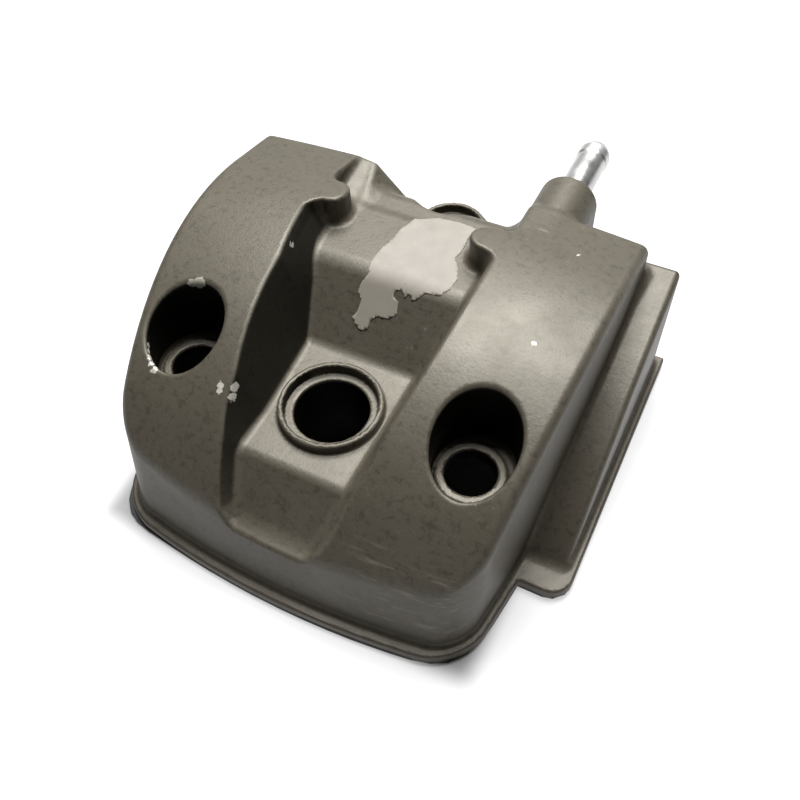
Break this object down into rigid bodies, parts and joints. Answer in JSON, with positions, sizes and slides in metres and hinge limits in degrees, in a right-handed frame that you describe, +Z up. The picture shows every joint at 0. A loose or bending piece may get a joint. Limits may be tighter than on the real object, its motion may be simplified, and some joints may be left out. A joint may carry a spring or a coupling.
{
  "type": "cylinder head cover",
  "caption": "Cast cover for an engine's cylinder head, with two shoulders, a channel with spark plug wells, a flange gasket and a breather spigot.",
  "frame": {"origin": "on the axis of the front plug well, at the plane the gasket stands on", "axes": "+X towards the chain-tunnel extension, +Y towards the breather spigot, +Z up along the plug wells"},
  "size_m": [0.1874, 0.2144, 0.0817],
  "materials": {
    "olive_paint": "satin cast paint",
    "bare_aluminium": "machined, slightly dull",
    "gasket_rubber": "matte",
    "seal_rubber": "matte",
    "baffle_plate": "rolled sheet",
    "gasket_paper": "pressed fibre",
    "wire_mesh": "knitted wire",
    "zinc_screw": "zinc plated"
  },
  "bodies": {
    "root": {"cover_casting": "olive_paint", "breather_spigot": "bare_aluminium", "perimeter_gasket": "gasket_rubber", "front_plug_seal": "seal_rubber", "rear_plug_seal": "seal_rubber", "breather_baffle": "baffle_plate", "baffle_gasket": "gasket_paper", "oil_separator_mesh": "wire_mesh", "oil_drain_tube": "baffle_plate", "baffle_screw_1": "zinc_screw", "baffle_screw_2": "zinc_screw", "baffle_screw_3": "zinc_screw", "baffle_screw_4": "zinc_screw", "baffle_screw_5": "zinc_screw", "baffle_screw_6": "zinc_screw"}
  },
  "joints": []
}
